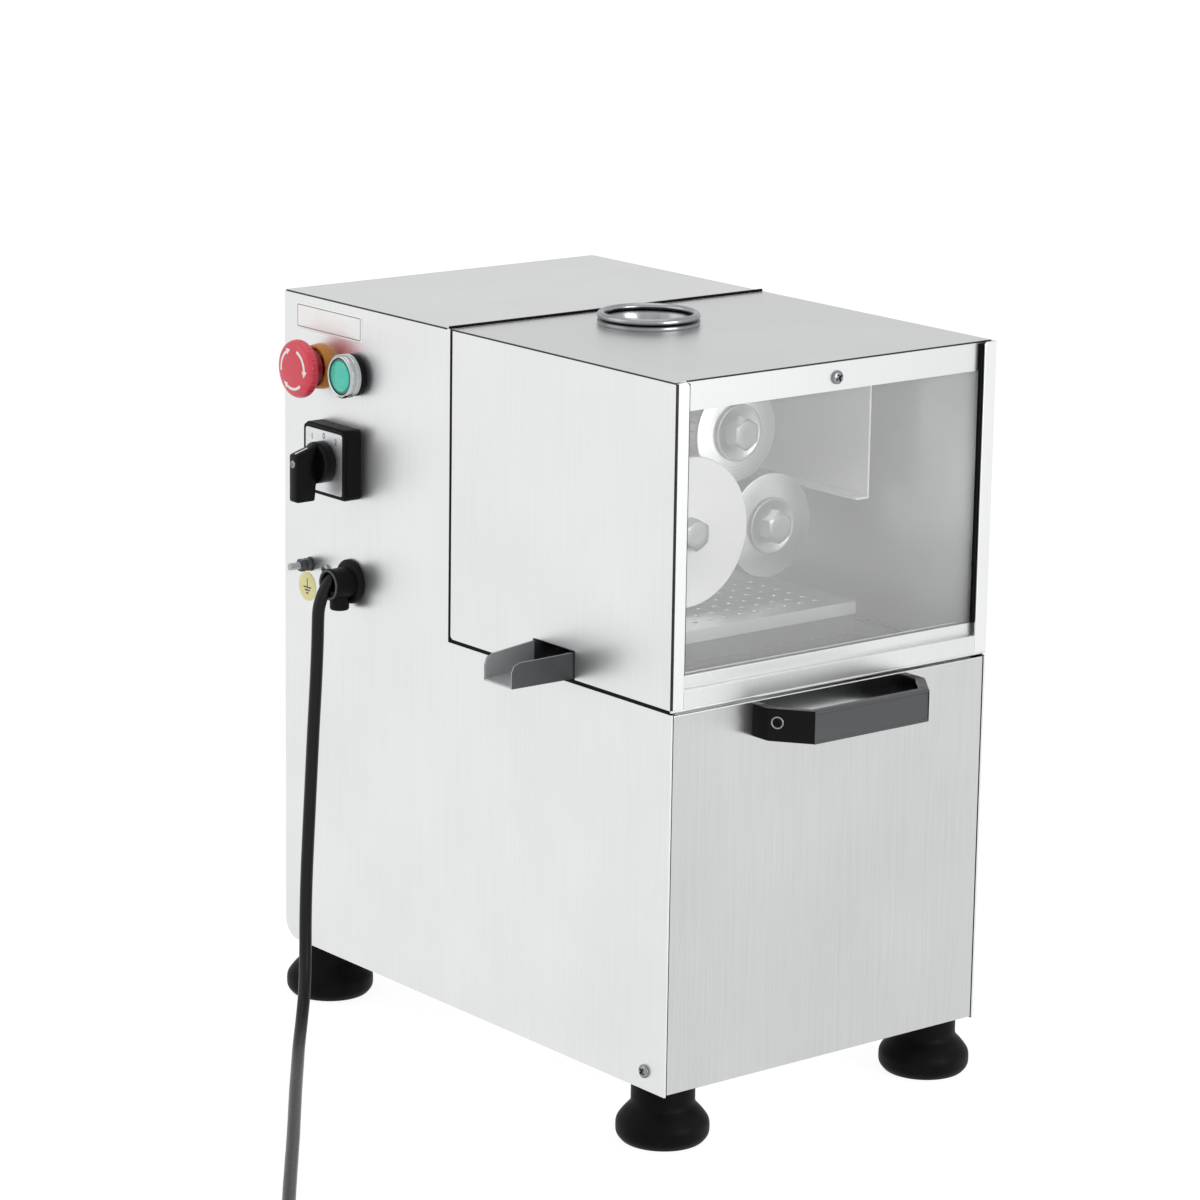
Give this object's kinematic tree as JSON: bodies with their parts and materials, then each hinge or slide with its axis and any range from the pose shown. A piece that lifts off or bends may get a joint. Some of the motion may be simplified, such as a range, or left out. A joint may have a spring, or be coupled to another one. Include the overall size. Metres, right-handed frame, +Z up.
{
  "type": "sugarcane juicer",
  "caption": "Table-top electric cane press: steel cabinet, window hood over geared fluted rollers, feed ring, side juice spout, residue drawer and side controls.",
  "frame": {"origin": "on the table under the middle of the whole outline, the lead left out", "axes": "+Z up, the window and the drawer face -Y, and the controls and the spout are on -X"},
  "size_m": [0.6377, 0.5252, 0.5],
  "materials": {
    "stainless_sheet": "satin",
    "clear_pane": "polished",
    "black_rubber": "matte",
    "cord_rubber": "satin",
    "bright_steel": "polished",
    "roller_steel": "machined",
    "gear_iron": "machined",
    "bush_bronze": "machined",
    "reducer_aluminium": "cast",
    "motor_paint": "satin",
    "black_plastic": "satin",
    "handle_black": "satin",
    "collar_orange": "gloss",
    "stop_red": "gloss",
    "bezel_chrome": "polished",
    "lens_green": "gloss",
    "face_silver": "satin",
    "runner_plastic": "satin"
  },
  "bodies": {
    "cabinet": {"base_pan": "stainless_sheet", "left_side_panel": "stainless_sheet", "right_side_panel": "stainless_sheet", "rear_cover": "stainless_sheet", "partition": "stainless_sheet", "hood_left_side": "stainless_sheet", "hood_right_side": "stainless_sheet", "hood_top": "stainless_sheet", "hood_sill": "stainless_sheet", "window_pane": "clear_pane", "hood_gasket": "black_rubber", "case_screws": "bright_steel", "feed_collar": "stainless_sheet", "juice_tray": "stainless_sheet", "strainer_plate": "stainless_sheet", "splash_guide": "stainless_sheet", "rubber_feet": "black_rubber", "front_bearing_plate": "gear_iron", "rear_bearing_plate": "gear_iron", "plate_spacers": "bright_steel", "bearing_bushes": "bush_bronze", "shaft_seals": "black_rubber", "press_stand": "gear_iron", "reducer_case": "reducer_aluminium", "motor": "motor_paint", "contactor": "black_plastic", "estop_collar": "collar_orange", "estop_block": "black_plastic", "button_bezel": "bezel_chrome", "button_block": "black_plastic", "switch_frame": "black_plastic", "switch_plate": "face_silver", "switch_body": "black_plastic", "earth_stud": "bright_steel", "cable_gland": "black_plastic", "drawer_runners": "runner_plastic", "cord_run": "cord_rubber", "cord_coil": "cord_rubber", "mains_plug": "cord_rubber"},
    "main_roller_set": {"main_shaft": "bright_steel", "main_roller": "roller_steel", "main_flange": "roller_steel", "main_gear": "gear_iron", "main_bolt": "bright_steel"},
    "upper_roller_set": {"upper_shaft": "bright_steel", "upper_roller": "roller_steel", "upper_gear": "gear_iron", "upper_bolt": "bright_steel"},
    "lower_roller_set": {"lower_shaft": "bright_steel", "lower_roller": "roller_steel", "lower_gear": "gear_iron", "lower_bolt": "bright_steel"},
    "drawer": {"drawer_front": "stainless_sheet", "residue_bin": "stainless_sheet", "handle_bar": "handle_black", "handle_ends": "black_plastic"},
    "estop_plunger": {"estop_stem": "stop_red"},
    "estop_cap": {"estop_head": "stop_red"},
    "power_button": {"power_button": "lens_green"},
    "selector_knob": {"selector_knob": "black_plastic"}
  },
  "joints": [
    {"name": "main_roller_spin", "type": "hinge", "parent": "cabinet", "child": "main_roller_set", "pos_m": [0.0035, 0, 0.362], "axis": [0, 1, 0], "continuous": true},
    {"name": "upper_roller_spin", "type": "hinge", "parent": "cabinet", "child": "upper_roller_set", "pos_m": [0.04758, 0, 0.42268], "axis": [0, 1, 0], "continuous": true},
    {"name": "lower_roller_spin", "type": "hinge", "parent": "cabinet", "child": "lower_roller_set", "pos_m": [0.07832, 0, 0.35677], "axis": [0, 1, 0], "continuous": true},
    {"name": "drawer_slide", "type": "slide", "parent": "cabinet", "child": "drawer", "axis": [0, -1, 0], "range_m": [0, 0.2]},
    {"name": "estop_push", "type": "slide", "parent": "cabinet", "child": "estop_plunger", "axis": [1, 0, 0], "range_m": [0, 0.005]},
    {"name": "estop_release_turn", "type": "hinge", "parent": "estop_plunger", "child": "estop_cap", "pos_m": [-0.1305, 0.1815, 0.447], "axis": [1, 0, 0], "range_deg": [0, 45]},
    {"name": "power_push", "type": "slide", "parent": "cabinet", "child": "power_button", "axis": [1, 0, 0], "range_m": [0, 0.003], "stiffness_N_per_m": 300},
    {"name": "selector_turn", "type": "hinge", "parent": "cabinet", "child": "selector_knob", "pos_m": [-0.1355, 0.16, 0.387], "axis": [1, 0, 0], "range_deg": [-45, 45]}
  ],
  "couplings": [
    {"joint": "upper_roller_spin", "follows": "main_roller_spin", "ratio": -1},
    {"joint": "lower_roller_spin", "follows": "main_roller_spin", "ratio": -1}
  ]
}
